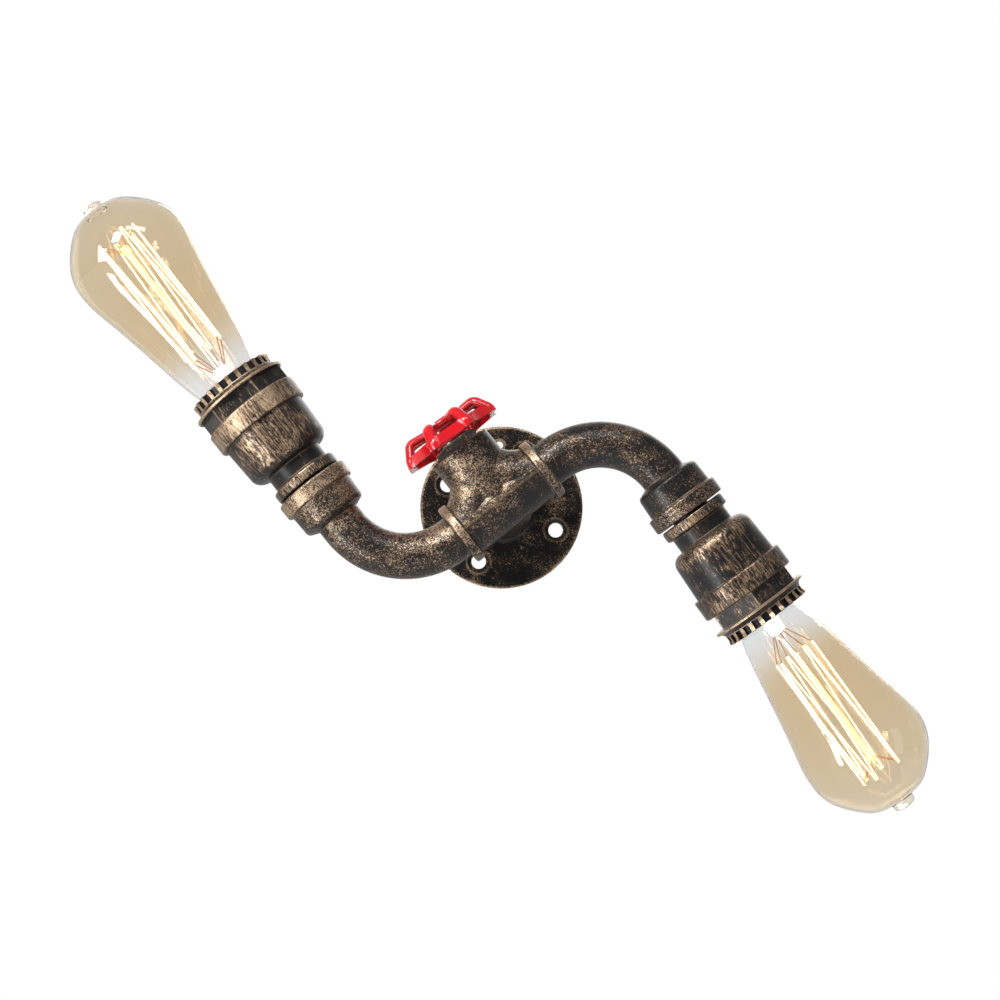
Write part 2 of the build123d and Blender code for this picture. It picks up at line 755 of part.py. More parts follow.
# Lead: the flat twin flex from the tee's rear outlet to a lamp holder.
def make_lead(side):
    run = run_lines[side]
    mouth = mouth_line(side)
    start = wall_line.point(LEAD_START) + run.along * LEAD_OFFSET
    turn = centre + run.along * LEAD_OFFSET
    corner = run.point(ELBOW_CORNER[side])
    end = mouth.point(CROWN_END + HOLDER_BACK + LEAD_ENTRY)
    with BuildPart() as lead:
        with BuildLine() as route:
            FilletPolyline(start, turn, corner, end, radius=[LEAD_BEND_R, BEND_R])
        with BuildSketch(Plane(origin=start, z_dir=FRONT)) as flex:
            Circle(LEAD_R)
        sweep(flex.sketch, path=route.wire())
    save(lead, f"lead_{side}")


# Bulb cap: rolled screw shell, black glass insulator and centre contact.
def make_bulb_cap(side):
    crown = mouth_line(side).shifted(CROWN_END)
    with BuildPart() as bulb_cap:
        turned(
            crown,
            [(CAP_R - CAP_ROOT - CAP_WALL, CAP_FOOT, 0), (CAP_R - CAP_ROOT, CAP_FOOT, 0)]
            + wave(CAP_R, CAP_FOOT, CAP_PITCH * CAP_TURNS, CAP_TURNS, CAP_ROOT)
            + [
                (CAP_R - CAP_ROOT, CAP_FOOT + CAP_PITCH * CAP_TURNS, 0.3),
                (CAP_R, CAP_TOP - 5.0, 0.3),
                (CAP_R, CAP_TOP, 0),
                (BULB_NECK_R + 0.1, CAP_TOP, 0),
                (BULB_NECK_R + 0.1, BULB_NECK_START - 0.1, 0),
                (CAP_R - CAP_ROOT - CAP_WALL, BULB_NECK_START - 0.6, 0),
            ],
        )
    save(bulb_cap, f"bulb_cap_{side}")


def make_cap_insulator(side):
    crown = mouth_line(side).shifted(CROWN_END)
    foot = CAP_TIP + CAP_TIP_T
    skirt_r = CAP_R - CAP_ROOT - CAP_WALL - 0.1
    with BuildPart() as cap_insulator:
        turned(
            crown,
            [
                (1.2, foot, 0),
                (CAP_TIP_R + 0.4, foot, 0.5),
                (CAP_R - CAP_ROOT - 0.3, CAP_FOOT - 0.05, 0),
                (skirt_r, CAP_FOOT - 0.05, 0),
                (skirt_r, CAP_FOOT + 1.5, 0),
                (1.2, CAP_FOOT + 1.5, 0),
            ],
        )
    save(cap_insulator, f"cap_insulator_{side}")


def make_cap_contact(side):
    crown = mouth_line(side).shifted(CROWN_END)
    with BuildPart() as cap_contact:
        turned(
            crown,
            [
                (0, CAP_TIP, 0),
                (CAP_TIP_R - 1.5, CAP_TIP, 1.0),
                (CAP_TIP_R, CAP_TIP + CAP_TIP_T, 0),
                (0, CAP_TIP + CAP_TIP_T, 0),
            ],
        )
        rod(crown, CAP_TIP + CAP_TIP_T, CAP_FOOT, 1.1)
    save(cap_contact, f"cap_contact_{side}")


# Bulb glass: a pear-shaped blown envelope with a drawn tip, open at its neck.
def glass_outline(line, inset):
    """Half section of the envelope, drawn in by an inset."""
    top = BULB_END - inset
    with BuildSketch(line.section()) as drawing:
        with BuildLine():
            neck = Line((0, BULB_NECK_START), (BULB_NECK_R - inset, BULB_NECK_START))
            throat = Line(neck @ 1, (BULB_NECK_R - inset, CAP_TOP + 0.3))
            shoulder = Spline(
                throat @ 1,
                (BULB_MOUTH_R - 1.0 - inset, -1.6),
                (BULB_MOUTH_R - inset, 0.6),
                tangents=((0.3, 1), (0.45, 1)),
            )
            flank = Spline(
                shoulder @ 1,
                (23.4 - inset, 30),
                (29.1 - inset, 60),
                (BULB_R - inset, BULB_WIDEST),
                tangents=((0.3, 1), (0, 1)),
            )
            dome = Spline(
                flank @ 1,
                (28.9 - inset, BULB_WIDEST + 13 - inset * 0.3),
                (19.5 - inset * 0.7, BULB_WIDEST + 24.5 - inset * 0.8),
                (0, top),
                tangents=((0, 1), (-1, 0)),
            )
            Line(dome @ 1, (0, BULB_NECK_START))
        make_face()
    return drawing.sketch


def make_bulb_glass(side):
    crown = mouth_line(side).shifted(CROWN_END)
    with BuildPart() as bulb_glass:
        revolve(glass_outline(crown, 0), axis=crown.axis)
        turned(
            crown,
            [
                (0, BULB_END - 3, 0),
                (BULB_TIP_R + 1.5, BULB_END - 3, 0),
                (BULB_TIP_R, BULB_END + 0.5, 2.0),
                (BULB_TIP_R - 0.4, BULB_TIP - 1.2, 2.2),
                (0, BULB_TIP, 0),
            ],
        )
        revolve(glass_outline(crown, GLASS_T), axis=crown.axis, mode=Mode.SUBTRACT)
    save(bulb_glass, f"bulb_glass_{side}")


# Glass stem: the flare that seals the neck, the pinch and the long rod with
# its button.
def make_glass_stem(side):
    crown = mouth_line(side).shifted(CROWN_END)
    flare_r = BULB_NECK_R - GLASS_T - 0.05
    with BuildPart() as glass_stem:
        turned(
            crown,
            [
                (0, BULB_NECK_START + 0.5, 0),
                (flare_r, BULB_NECK_START + 0.5, 0),
                (flare_r, BULB_NECK_START + 1.5, 0),
                (STEM_R + 1, BULB_NECK_START + 7, 4),
                (STEM_R, STEM_PINCH - 5, 3),
                (STEM_ROD_R, STEM_PINCH, 1),
                (STEM_ROD_R, STEM_BUTTON - 3, 1),
                (STEM_BUTTON_R, STEM_BUTTON - 1.5, 0.6),
                (STEM_BUTTON_R, STEM_BUTTON + 1.5, 0.6),
                (0, STEM_BUTTON + 2, 0),
            ],
        )
    save(glass_stem, f"glass_stem_{side}")


def cage_point(crown, number, spread=0.0):
    """Turning points of the filament: even numbers low, odd numbers high."""
    station = CAGE_HIGH if number % 2 else CAGE_LOW
    return crown.point(station, CAGE_R, number * CAGE_ARC / CAGE_STRANDS + spread)


# Support wires: hooks that fan out from the button above and the pinch below.
def make_support_wires(side):
    crown = mouth_line(side).shifted(CROWN_END)
    with BuildPart() as support_wires:
        for number in range(CAGE_STRANDS + 1):
            turn = number * CAGE_ARC / CAGE_STRANDS
            if number % 2:
                root = crown.point(STEM_BUTTON, BUTTON_ROOT_R, turn)
            else:
                root = crown.point(PINCH_ROOT, PINCH_ROOT_R, turn)
            wire = cage_point(crown, number) - root
            with BuildSketch(Plane(origin=root, z_dir=wire)) as section:
                Circle(HOOK_R)
            extrude(section.sketch, amount=wire.length - HOOK_SHORT)
    save(support_wires, f"support_wires_{side}")


# Filament: one wire that runs up and down between the hooks, bent square over
# each of them.
def make_filament(side):
    crown = mouth_line(side).shifted(CROWN_END)
    points = []
    for number in range(CAGE_STRANDS + 1):
        points.append(cage_point(crown, number, -HOOK_SPREAD))
        points.append(cage_point(crown, number, HOOK_SPREAD))
    with BuildPart() as filament:
        with BuildLine() as zigzag:
            Polyline(points)
        with BuildSketch(Plane(origin=points[0], z_dir=points[1] - points[0])) as section:
            Circle(STRAND_R)
        sweep(section.sketch, path=zigzag.wire(), transition=Transition.RIGHT)
    save(filament, f"filament_{side}")


make_wall_plate()
make_rear_nipple()
make_tee()
make_branch_plug()
make_spindle()
make_wheel_washer()
make_valve_wheel()
make_wheel_nut()

for side in SIDES:
    make_elbow(side)
    make_nipple(side)
    make_bell(side)
    make_hex_bush(side)
    make_crown_ring(side)
    make_lamp_holder(side)
    make_screw_shell(side)
    make_centre_contact(side)
    make_terminal_screws(side)
    make_lead(side)
    make_bulb_cap(side)
    make_cap_insulator(side)
    make_cap_contact(side)
    make_bulb_glass(side)
    make_glass_stem(side)
    make_support_wires(side)
    make_filament(side)
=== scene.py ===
import math

import bpy
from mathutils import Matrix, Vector

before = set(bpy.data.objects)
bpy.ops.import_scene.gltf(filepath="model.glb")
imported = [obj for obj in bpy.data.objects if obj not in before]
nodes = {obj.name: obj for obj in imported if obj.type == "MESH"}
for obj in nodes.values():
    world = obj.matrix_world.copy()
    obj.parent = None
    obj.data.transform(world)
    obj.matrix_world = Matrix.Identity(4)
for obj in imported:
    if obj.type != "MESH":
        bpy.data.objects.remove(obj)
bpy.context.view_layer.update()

# Everything is in metres and in the frame of the CAD: +Z is up, the wall is the
# plane y = 0 and the front looks along -Y.
STANDOFF = 0.041          # wall to the axes of the arms
RUN_ANGLE = 38.5          # slope of the tee's run, in degrees
BEND_ANGLE = {"left": 90.0, "right": 92.4}
ELBOW_CORNER = {"left": 0.0692, "right": 0.073}   # tee centre to the crossing of an elbow's axes
ELBOW_ARM = {"left": 0.0662, "right": 0.063}      # that crossing to the elbow's mouth
CROWN_END = 0.0655        # elbow's mouth to the end of the crown ring
SIDES = ("left", "right")

centre = Vector((0, -STANDOFF, 0))
PLATE_AXIS = (0, 1, 0)


def heading(angle):
    """Unit vector in the wall's plane, measured from +X towards +Z."""
    return Vector((math.cos(math.radians(angle)), 0, math.sin(math.radians(angle))))


run_along = {"right": heading(RUN_ANGLE), "left": heading(RUN_ANGLE + 180)}
branch_along = heading(RUN_ANGLE + 90)
arm_along = {
    "left": heading(RUN_ANGLE + 180 - BEND_ANGLE["left"]),
    "right": heading(RUN_ANGLE - BEND_ANGLE["right"]),
}
arm_mouth = {
    side: centre + run_along[side] * ELBOW_CORNER[side] + arm_along[side] * ELBOW_ARM[side] for side in SIDES
}
crown_end = {side: arm_mouth[side] + arm_along[side] * CROWN_END for side in SIDES}


# ---------------------------------------------------------------- materials


class Wire:
    """One socket of a material. Arithmetic on it adds Math nodes."""

    def __init__(self, paint, socket):
        self.paint = paint
        self.socket = socket

    def _math(self, operation, *values):
        return self.paint.node("ShaderNodeMath", {"operation": operation}, values)

    def __add__(self, other):
        return self._math("ADD", self, other)

    def __sub__(self, other):
        return self._math("SUBTRACT", self, other)

    def __rsub__(self, other):
        return self._math("SUBTRACT", other, self)

    def __mul__(self, other):
        return self._math("MULTIPLY", self, other)

    __radd__ = __add__

    def most(self, other):
        return self._math("MAXIMUM", self, other)

    def size(self):
        return self._math("ABSOLUTE", self)

    def clear(self):
        """Held between 0 and 1."""
        return self.paint.node("ShaderNodeClamp", {}, {"Value": self})

    def ramp(self, low, high):
        """0 below low and 1 above high, with a soft step between."""
        return self.paint.node(
            "ShaderNodeMapRange",
            {"interpolation_type": "SMOOTHSTEP"},
            {"Value": self, "From Min": low, "From Max": high},
        )

    def band(self, start, end, soft):
        """1 between two stations and 0 outside, with soft borders."""
        return self.ramp(start - soft, start + soft) * (1 - self.ramp(end - soft, end + soft))


class Paint:
    """A material under construction."""

    def __init__(self, name):
        self.material = bpy.data.materials.new(name)
        self.material.use_nodes = True
        self.tree = self.material.node_tree
        self.tree.nodes.clear()
        self.output = self.tree.nodes.new("ShaderNodeOutputMaterial")

    def node(self, kind, settings, values, out=0):
        """Adds a node: its settings first, then the values or links of its sockets."""
        made = self.tree.nodes.new(kind)
        for key, value in settings.items():
            if key == "stops":
                ramp = made.color_ramp
                while len(ramp.elements) < len(value):
                    ramp.elements.new(0.5)
                for element, (place, colour) in zip(ramp.elements, value):
                    element.position = place
                    element.color = (*colour, 1)
            else:
                setattr(made, key, value)
        if not isinstance(values, dict):
            values = dict(enumerate(values))
        for key, value in values.items():
            if isinstance(value, Wire):
                self.tree.links.new(value.socket, made.inputs[key])
            else:
                made.inputs[key].default_value = value
        return Wire(self, made.outputs[out])

    def place(self):
        """The point on the piece, in its own frame, which moves with the piece."""
        return self.node("ShaderNodeTexCoord", {}, {}, out="Object")

    def along(self, start, direction):
        """How far the point lies along a direction from a start, in millimetres."""
        off = self.node("ShaderNodeVectorMath", {"operation": "SUBTRACT"}, [self.place(), tuple(start)])
        return self.node(
            "ShaderNodeVectorMath",
            {"operation": "DOT_PRODUCT"},
            [off, tuple(Vector(direction) * 1000)],
            out="Value",
        )

    def out_from(self, start, direction):
        """How far the point lies from an axis, in millimetres."""
        off = self.node("ShaderNodeVectorMath", {"operation": "SUBTRACT"}, [self.place(), tuple(start)])
        off = self.node("ShaderNodeVectorMath", {"operation": "CROSS_PRODUCT"}, [off, tuple(direction)])
        reach = self.node("ShaderNodeVectorMath", {"operation": "LENGTH"}, [off], out="Value")
        return reach * 1000

    def noise(self, scale, detail=3.0, rough=0.55, twist=0.0, where=None):
        """Noise of a scale in turns per metre, about 0.5 in the middle."""
        return self.node(
            "ShaderNodeTexNoise",
            {},
            {
                "Vector": where or self.place(),
                "Scale": scale,
                "Detail": detail,
                "Roughness": rough,
                "Distortion": twist,
            },
        )

    def mix(self, amount, first, second):
        """A colour between two colours."""
        return self.node(
            "ShaderNodeMix",
            {"data_type": "RGBA"},
            {0: amount, 6: colour(first), 7: colour(second)},
            out=2,
        )

    def bump(self, height, depth, strength=1.0):
        """Normal of a surface raised by a height of 0 to 1, depth in metres."""
        return self.node(
            "ShaderNodeBump", {}, {"Height": height, "Distance": depth, "Strength": strength}
        )

    def finish(self, **values):
        """Joins a Principled shader with these sockets to the output."""
        names = {key.replace("_", " "): value for key, value in values.items()}
        names = {key: colour(value) if "Color" in key else value for key, value in names.items()}
        shader = self.node("ShaderNodeBsdfPrincipled", {}, names)
        self.tree.links.new(shader.socket, self.output.inputs["Surface"])
        return self.material


def colour(value):
    """A plain triple as a colour with full alpha; anything else as it is."""
    return (*value, 1) if isinstance(value, tuple) and len(value) == 3 else value


def paint_node(name, material):
    """The CAD piece takes this material in all its slots."""
    for slot in nodes[name].material_slots:
        slot.material = material


# Colours of the bronze, from the whole lacquer to the bare metal
LACQUER = (0.0085, 0.0085, 0.0105)
SMOKE = (0.02, 0.0155, 0.013)
BROWN = (0.05, 0.033, 0.022)
DULL_GOLD = (0.29, 0.19, 0.115)
GOLD = (0.7, 0.52, 0.36)
KEY_LIGHT_SIDE = Vector((-0.45, -0.78, 0.44)).normalized()  # the side the key lights come from; the extra gold there is a painted highlight
BRUSH_STRETCH = 5.0       # how much longer than wide the brush marks are
GRIT_SCALE = 2100         # specks, blotches, clouds and brush marks, in turns per metre
BLOTCH_SCALE = 820
CLOUD_SCALE = 110
MARK_SCALE = 1250
BUMP_DEPTH = 0.00009


def worn_bronze_with_highlight(name, rubbed, speckle=1.0, streak=None, edge=0.0012, key_light_gold=0.24, lacquer=LACQUER):
    """Dark lacquer over gold bronze, rubbed through on edges and high spots.

    rubbed(paint) gives how much a place is rubbed, 0 to 1; streak is the direction
    that the brush marks follow. The gold weight for the lit side is a painted highlight:
    that much more gold goes on the side toward the key light, the front and the upper
    left, than on the back."""
    paint = Paint(name)
    grit = paint.noise(GRIT_SCALE, 2, 0.6)
    blotch = paint.noise(BLOTCH_SCALE, 2, 0.55, 1.0)
    cloud = paint.noise(CLOUD_SCALE, 2, 0.5)
    marks = blotch
    if streak is not None:
        shorten = 0.001 * (1 - 1 / BRUSH_STRETCH)
        squeeze = paint.node(
            "ShaderNodeVectorMath",
            {"operation": "SCALE"},
            {"Vector": tuple(streak), "Scale": paint.along((0, 0, 0), streak) * shorten},
        )
        drawn = paint.node("ShaderNodeVectorMath", {"operation": "SUBTRACT"}, [paint.place(), squeeze])
        marks = paint.noise(MARK_SCALE, 2, 0.6, 0.2, drawn)
    # Edges show where the rounded normal turns away from the true one.
    rounded = paint.node("ShaderNodeBevel", {"samples": 4}, {"Radius": edge})
    true = paint.node("ShaderNodeNewGeometry", {}, {}, out="Normal")
    same = paint.node("ShaderNodeVectorMath", {"operation": "DOT_PRODUCT"}, [rounded, true], out="Value")
    edges = (1 - same).ramp(0.012, 0.1)
    # Painted highlight: more gold goes where the surface turns toward the key light, on the front and the
    # upper left.
    facing = [true, tuple(KEY_LIGHT_SIDE)]
    toward_key_light = paint.node("ShaderNodeVectorMath", {"operation": "DOT_PRODUCT"}, facing, out="Value")
    hollow = paint.node("ShaderNodeAmbientOcclusion", {"samples": 4}, {"Distance": 0.0035}, out="AO")
    open_air = hollow.ramp(0.45, 0.85)
    wear_and_highlight = (grit - 0.5) * 1.3 * speckle + (marks - 0.5) * 1.4 + (cloud - 0.5) * 0.6
    wear_and_highlight = wear_and_highlight + rubbed(paint) + (toward_key_light.ramp(-0.2, 1.0) - 0.5) * key_light_gold
    level = wear_and_highlight.ramp(0.07, 0.52) * open_air
    level = level.most(edges * open_air * (grit * 0.5 + marks * 0.5 + 0.3).ramp(0.5, 0.9))
    ground = paint.mix((cloud * 0.6 + blotch * 0.4).ramp(0.42, 0.62), lacquer, SMOKE)
    tones = [(0.0, BROWN), (0.55, DULL_GOLD), (1.0, GOLD)]
    rubbed_metal = paint.node("ShaderNodeValToRGB", {"stops": tones}, [level])
    base = paint.mix(level.ramp(0.0, 0.35), ground, rubbed_metal)
    gold = level.ramp(0.25, 0.75)
    return paint.finish(
        Base_Color=base,
        Metallic=gold,
        Roughness=(0.33 + gold * 0.1 + (grit - 0.5) * 0.2).clear(),
        IOR=1.42,
        Normal=paint.bump(grit * 0.5 + marks * 0.5, BUMP_DEPTH, 0.8),
    )


def arm_bands(side, bands):
    """Rubbed bands across an arm: (start, end, softness, amount) in millimetres."""

    def rubbed(paint):
        station = paint.along(arm_mouth[side], arm_along[side])
        total = 0.0
        for start, end, soft, amount in bands:
            total = station.band(start, end, soft) * amount + total
        return total

    return rubbed


def everywhere(amount):
    """Rubbed alike all over, but for large clouds."""

    def rubbed(paint):
        return (paint.noise(24, 2, 0.5) - 0.5) * 0.6 + amount

    return rubbed


def tee_wear(paint):
    """More on the beads at the run's ends and on the branch, less on the right half."""
    station = paint.along(centre, run_along["right"]).size()
    dull_end = paint.along(centre, run_along["right"]).band(7, 23, 5) * 0.2
    branch = paint.along(centre, branch_along).band(10, 30, 6) * 0.16
    beads = station.ramp(23.2, 23.8) * 0.18
    return beads + (paint.noise(30, 2, 0.5) - 0.5) * 0.5 + 0.04 - dull_end + branch


# How much each arm is rubbed; the photograph shows the left one rubbed more
ELBOW_RUB = {"left": 0.12, "right": -0.14}
BELL_RUB = {"left": 0.13, "right": -0.06}    # on the bell's body
BAND_RUB = {"left": 0.28, "right": 0.13}


def elbow_wear(side):
    """Speckled over the bend and the socket, with a brighter band at the mouth."""

    def rubbed(paint):
        station = paint.along(arm_mouth[side], arm_along[side])
        band = station.band(-8.2, 0.5, 0.4) * 0.18 - station.band(-20, -8.6, 0.6) * 0.04
        return band + (paint.noise(26, 2, 0.5) - 0.5) * 0.6 + ELBOW_RUB[side]

    return rubbed


# Places on the wall plate: radii in millimetres, reach of a hole in metres
RIM = (38.5, 41.5)
RIM_EDGE = (40.4, 41.2)
SCREW_TURN, SCREW_REACH, SCREW_RING = 67.2, 0.0304, (5.9, 7.0)
EARTH_TURN, EARTH_REACH, EARTH_RING = 92, 0.0324, (1.9, 3.4)


def plate_wear(paint):
    """Rubbed at the rim and round the holes."""
    out = paint.out_from((0, 0, 0), PLATE_AXIS)
    total = out.ramp(*RIM) * 0.15 + out.ramp(*RIM_EDGE) * 0.25
    for quarter in range(4):
        hole = heading(SCREW_TURN + 90 * quarter) * SCREW_REACH
        total = total + paint.out_from(hole, PLATE_AXIS).band(*SCREW_RING, 0.35) * 0.35
    earth = heading(EARTH_TURN) * EARTH_REACH
    total = total + paint.out_from(earth, PLATE_AXIS).band(*EARTH_RING, 0.3) * 0.6
    return total + (paint.noise(55, 2, 0.5) - 0.5) * 0.8 - 0.1


# Stations along an arm from the elbow's mouth, and radii, in millimetres
BEAD_END = 6.6
NECK_END = 13.5
SHOULDER = (15, 22)
BODY_END = 37.5
BELL_BAND = (38, 49.5)
HEXAGON = (48, 58)
TOOTH_ROOT = (21.6, 22.1)
FLANGE_RIM = (24.6, 25.2)


def crown_wear(side):
    """Rubbed on the thin flange's edge and on the ridges between the notches."""

    def rubbed(paint):
        station = paint.along(arm_mouth[side], arm_along[side])
        out = paint.out_from(arm_mouth[side], arm_along[side])
        ridges = station.ramp(60.0, 61.0) * out.ramp(*TOOTH_ROOT)
        rim = out.ramp(*FLANGE_RIM)
        notches = station.ramp(60.5, 61.5) * (1 - out.ramp(*TOOTH_ROOT))
        return ridges * 0.5 + rim * 0.5 - notches * 0.5

    return rubbed


paint_node("wall_plate", worn_bronze_with_highlight("plate_bronze", plate_wear, 1.6, key_light_gold=0.05))
paint_node("rear_nipple", worn_bronze_with_highlight("rear_nipple_bronze", everywhere(0.0)))
paint_node("tee", worn_bronze_with_highlight("tee_bronze", tee_wear, 1.6))
# The plug's greyer, greener lacquer is a painted reflection: it stands in for the grey that its flat face
# reflects.
paint_node("branch_plug", worn_bronze_with_highlight("plug_bronze_painted_reflection", everywhere(-0.2), lacquer=(0.045, 0.052, 0.05)))
for side in SIDES:
    elbow = worn_bronze_with_highlight(f"elbow_bronze_{side}", elbow_wear(side), 1.6)
    paint_node(f"elbow_{side}", elbow)
    paint_node(f"nipple_{side}", elbow)
    bell = worn_bronze_with_highlight(
        f"bell_bronze_{side}",
        arm_bands(side, [
            (0, BEAD_END, 0.4, 0.16),
            (BEAD_END, NECK_END, 0.5, -0.2),
            (*SHOULDER, 2.5, 0.12),
            (SHOULDER[1], BODY_END, 3, BELL_RUB[side]),
            (*BELL_BAND, 0.4, BAND_RUB[side]),
        ]),
        0.8,
        arm_along[side],
    )
    paint_node(f"bell_{side}", bell)
    hex_rub = arm_bands(side, [(*HEXAGON, 0.5, -0.06)])
    hexagon = worn_bronze_with_highlight(f"hex_bronze_{side}", hex_rub, 0.9, arm_along[side], edge=0.0013)
    paint_node(f"hex_bush_{side}", hexagon)
    crown = worn_bronze_with_highlight(f"crown_bronze_{side}", crown_wear(side), 0.7, arm_along[side], edge=0.0004)
    paint_node(f"crown_ring_{side}", crown)


def red_enamel():
    """Glossy red enamel over a cast wheel, with a slight orange peel and painted shade: the red darkens
    where the AO node finds the surface enclosed.
    """
    paint = Paint("red_enamel")
    peel = paint.noise(260, 2, 0.5)
    patches = paint.noise(60, 2, 0.5)
    recess_shade = paint.node("ShaderNodeAmbientOcclusion", {"samples": 4}, {"Distance": 0.006}, out="AO")
    body = paint.mix(patches, (0.62, 0.004, 0.012), (0.72, 0.012, 0.02))
    # Painted shade: the red turns to a red-black in enclosed places of the wheel.
    body = paint.mix((1 - recess_shade) * 0.8, body, (0.2, 0.0, 0.006))
    return paint.finish(
        Base_Color=body,
        Roughness=(0.2 + (patches - 0.5) * 0.1).clear(),
        Coat_Weight=0.9,
        Coat_Roughness=0.05,
        Normal=paint.bump(peel, 0.00006, 0.35),
    )


def plain_metal(name, tint, rough, grain=900):
    """Plated or pressed metal with a fine grain."""
    paint = Paint(name)
    fine = paint.noise(grain, 3, 0.6)
    dull = paint.noise(120, 2, 0.5)
    return paint.finish(
        Base_Color=paint.mix(dull.ramp(0.3, 0.7) * 0.5, tint, tuple(part * 0.7 for part in tint)),
        Metallic=1.0,
        Roughness=(rough + (fine - 0.5) * 0.2).clear(),
        Normal=paint.bump(fine, 0.00008, 0.4),
    )


def glazed(name, tint, rough):
    """Glazed porcelain or black glass."""
    paint = Paint(name)
    cloud = paint.noise(150, 2, 0.5)
    return paint.finish(
        Base_Color=paint.mix(cloud, tint, tuple(part * 0.86 for part in tint)),
        Roughness=(rough + (cloud - 0.5) * 0.1).clear(),
        Coat_Weight=0.5,
        Normal=paint.bump(cloud, 0.0001, 0.3),
    )


def flex_sheath():
    """Dark plastic sheath of the inner leads."""
    paint = Paint("flex_sheath")
    fine = paint.noise(700, 2, 0.5)
    return paint.finish(
        Base_Color=paint.mix(fine, (0.02, 0.02, 0.021), (0.035, 0.034, 0.033)),
        Roughness=(0.5 + (fine - 0.5) * 0.2).clear(),
        Normal=paint.bump(fine, 0.0001, 0.3),
    )


def bulb_glass(side):
    """Clear blown glass, tinted amber from a little past the crown to the tip, with a painted dark outline
    where the glass is seen edge-on.
    """
    paint = Paint(f"bulb_glass_{side}")
    station = paint.along(crown_end[side], arm_along[side])
    ripple = paint.noise(24, 1, 0.4)
    amber = (station + (ripple - 0.5) * 14).ramp(2, 34)
    tint = paint.mix(amber, (0.87, 0.875, 0.88), (0.785, 0.69, 0.54))
    tint = paint.mix(station.ramp(50, 112), tint, (0.8, 0.725, 0.6))
    # Painted shade: the colour turns darker brown as the surface turns edge-on to the view.
    rim = paint.node("ShaderNodeLayerWeight", {}, {}, out="Facing").ramp(0.72, 1.0)
    return paint.finish(
        Base_Color=paint.mix(rim * 0.75, tint, (0.42, 0.35, 0.28)),
        Roughness=0.0,
        IOR=1.46,
        Transmission_Weight=1.0,
        Normal=paint.bump(ripple, 0.001, 0.15),
    )


def stem_glass_painted_glow(side):
    """Clear glass of the inner stem with a painted glow: emission, pale grey near the crown and warm yellow
    towards the filament, stands in for the filament's light in the rod.
    """
    paint = Paint(f"stem_glass_painted_glow_{side}")
    station = paint.along(crown_end[side], arm_along[side])
    ripple = paint.noise(200, 1, 0.4)
    # Painted glow: the stem's emission brightens and warms from 22 to 34 mm past the crown.
    lit = station.ramp(22, 34)
    glow = paint.mix(lit, (0.3, 0.29, 0.28), (1.2, 0.86, 0.16))
    return paint.finish(
        Base_Color=(0.97, 0.96, 0.94),
        Roughness=0.0,
        IOR=1.5,
        Transmission_Weight=1.0,
        Emission_Color=glow,
        Emission_Strength=1.1,
        Normal=paint.bump(ripple, 0.0003, 0.2),
    )


def glowing_wire(name, side, hot, cool, strength):
    """Wire lit by emission, white hot in the middle, cooler and more orange near its ends. On the filament
    this is the lamp's own light; on the support wires it is a painted glow.
    """
    paint = Paint(f"{name}_{side}")
    station = paint.along(crown_end[side], arm_along[side])
    flicker = paint.noise(160, 2, 0.5)
    ends = (1 - station.band(28, 88, 5)) * 0.7
    glow = paint.mix((ends + (flicker - 0.5) * 0.5).clear(), hot, cool)
    return paint.finish(
        Base_Color=(0.2, 0.1, 0.04),
        Roughness=0.5,
        Emission_Color=glow,
        Emission_Strength=strength,
    )


paint_node("valve_wheel", red_enamel())
steel = plain_metal("plated_steel", (0.5, 0.48, 0.45), 0.3)
for name in ("valve_spindle", "wheel_washer", "wheel_nut"):
    paint_node(name, steel)

brass = plain_metal("brass", (0.78, 0.58, 0.28), 0.25)
porcelain = glazed("porcelain", (0.82, 0.8, 0.76), 0.2)
black_glass = glazed("black_glass", (0.015, 0.015, 0.016), 0.12)
sheath = flex_sheath()
for side in SIDES:
    for name in ("screw_shell", "centre_contact", "terminal_screws", "bulb_cap", "cap_contact"):
        paint_node(f"{name}_{side}", brass)
    paint_node(f"lamp_holder_{side}", porcelain)
    paint_node(f"cap_insulator_{side}", black_glass)
    paint_node(f"lead_{side}", sheath)
    paint_node(f"bulb_glass_{side}", bulb_glass(side))
    paint_node(f"glass_stem_{side}", stem_glass_painted_glow(side))
    # The support wires are no lamp: their orange emission is a painted glow.
    hooks_painted_glow = glowing_wire("hook_wire_painted_glow", side, (0.8, 0.36, 0.12), (0.26, 0.17, 0.11), 1.0)
    paint_node(f"support_wires_{side}", hooks_painted_glow)
    filament = glowing_wire("glowing_wire", side, (1.0, 0.66, 0.36), (1.0, 0.5, 0.18), 8.0)
    paint_node(f"filament_{side}", filament)


# ------------------------------------------------------ floor, lights, camera

FLOOR_Z = -1.1            # the light hangs on a wall, well above the floor
FLOOR_SIZE = 8
FLOOR_WHITE = 0.93        # share of plain white that the camera sees there
bpy.ops.mesh.primitive_plane_add(size=FLOOR_SIZE, location=(0, 0, FLOOR_Z))
floor = bpy.context.object
floor.name = "floor"
white = Paint("floor_white")
ray = white.node("ShaderNodeLightPath", {}, {}, out="Is Camera Ray")
glossy = white.node("ShaderNodeLightPath", {}, {}, out="Is Glossy Ray")
through = white.node("ShaderNodeLightPath", {}, {}, out="Is Transmission Ray")
seen = (ray + glossy * 0.3 + through).clear()
matte = white.node("ShaderNodeBsdfDiffuse", {}, {"Color": (0.9, 0.9, 0.9, 1)})
lit = white.node("ShaderNodeEmission", {}, {"Color": (1, 1, 1, 1), "Strength": 1.0})
share = white.node("ShaderNodeMixShader", {}, {0: seen * FLOOR_WHITE, 1: matte, 2: lit})
white.tree.links.new(share.socket, white.output.inputs["Surface"])
floor.data.materials.append(white.material)

world = bpy.data.worlds.new("studio")
bpy.context.scene.world = world
world.use_nodes = True
world.node_tree.nodes.clear()


class Surround(Paint):
    """The world's background, built with the same calls as a material."""

    def __init__(self):
        self.tree = world.node_tree
        self.output = self.tree.nodes.new("ShaderNodeOutputWorld")


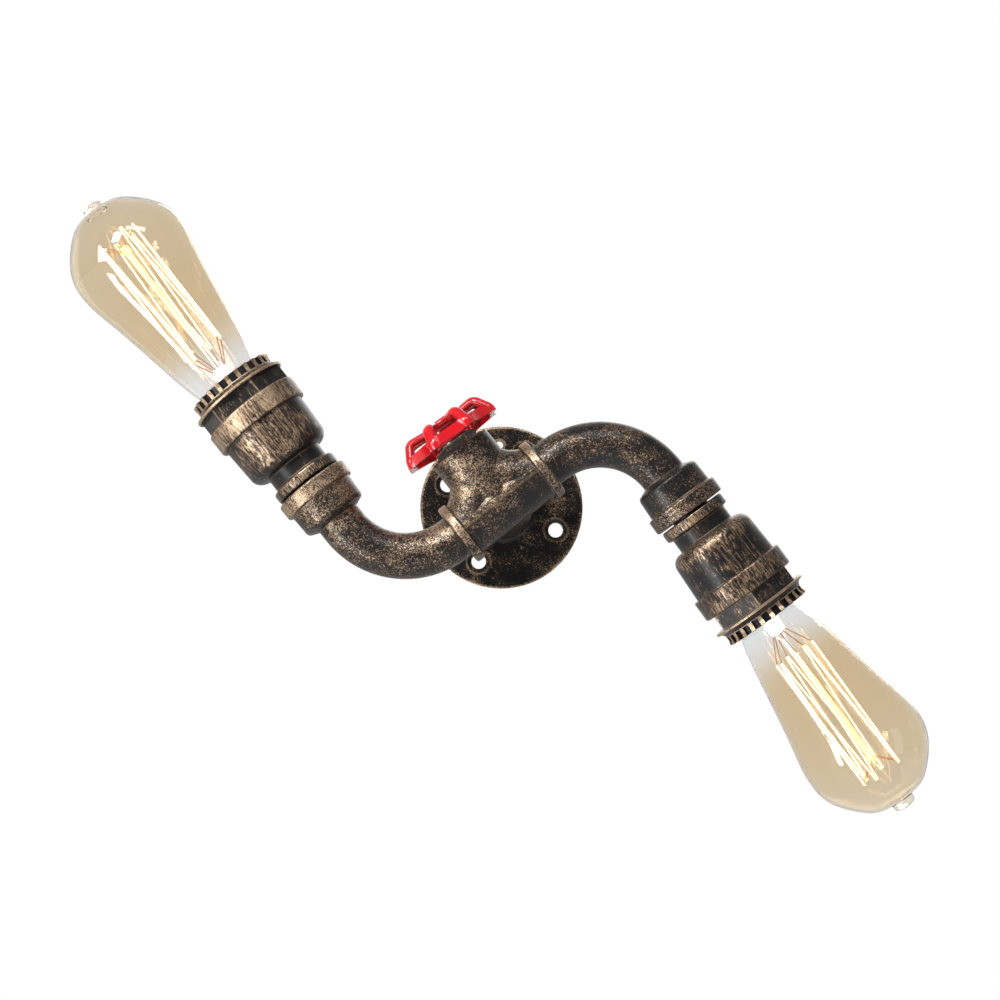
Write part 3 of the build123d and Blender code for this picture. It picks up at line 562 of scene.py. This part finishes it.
studio = Surround()
direction = studio.node("ShaderNodeTexCoord", {}, {}, out="Generated")
behind = studio.node("ShaderNodeSeparateXYZ", {}, [direction], out="Y")
height = studio.node("ShaderNodeSeparateXYZ", {}, [direction], out="Z")
camera_ray = studio.node("ShaderNodeLightPath", {}, {}, out="Is Camera Ray")
glossy_ray = studio.node("ShaderNodeLightPath", {}, {}, out="Is Glossy Ray")
through_ray = studio.node("ShaderNodeLightPath", {}, {}, out="Is Transmission Ray")
AMBIENT = 0.35            # what matt surfaces receive from all round
mirror_level = behind.ramp(0.1, 0.7) * 0.5 + height.ramp(-0.2, 0.9) * 0.12 + 0.06
level = (camera_ray.most(through_ray)).most(glossy_ray * mirror_level)
level = level.most((1 - glossy_ray) * AMBIENT)
backdrop = studio.node("ShaderNodeBackground", {}, {"Color": (1, 1, 1, 1), "Strength": level})
studio.tree.links.new(backdrop.socket, studio.output.inputs["Surface"])


def softbox(name, place, width, height, watts):
    """A large soft lamp that looks at the middle of the wall plate."""
    data = bpy.data.lights.new(name, "AREA")
    data.shape = "RECTANGLE"
    data.size, data.size_y = width, height
    data.energy = watts
    lamp = bpy.data.objects.new(name, data)
    bpy.context.scene.collection.objects.link(lamp)
    lamp.location = place
    lamp.rotation_mode = "QUATERNION"
    lamp.rotation_quaternion = (-Vector(place)).to_track_quat("-Z", "Y")


# Boxes beside, below and above to the left and a strip above light the three ways
# that the tubes run.
softbox("left_window", (-1.15, -0.95, 0.1), 0.4, 0.5, 6.5)
softbox("left_low", (-1.0, -0.95, -0.7), 0.25, 0.5, 5.5)
softbox("upper_left_box", (-0.65, -1.15, 0.8), 0.35, 0.5, 13.0)
softbox("top_strip", (0.05, -0.95, 1.15), 0.8, 0.22, 4.5)
softbox("right_fill", (1.2, -0.8, 0.1), 0.4, 0.9, 1.0)
softbox("back", (0.3, 1.2, 0.5), 0.9, 0.9, 4.0)

PITCH = 4.5               # the camera looks up by this many degrees
DISTANCE = 1.1
FOCAL_PX = 2200.0         # focal length in the photograph's pixels
FRAME_PX = 1000
SENSOR = 36
aim = Vector((-0.00075, -STANDOFF, 0.00075))
back = Vector((0, -math.cos(math.radians(PITCH)), -math.sin(math.radians(PITCH))))
camera_data = bpy.data.cameras.new("camera")
camera_data.sensor_width = SENSOR
camera_data.lens = SENSOR * FOCAL_PX / FRAME_PX
camera = bpy.data.objects.new("camera", camera_data)
bpy.context.scene.collection.objects.link(camera)
camera.location = aim + back * DISTANCE
camera.rotation_mode = "QUATERNION"
camera.rotation_quaternion = (-back).to_track_quat("-Z", "Y")
bpy.context.scene.camera = camera
bpy.context.scene.view_settings.view_transform = "Standard"
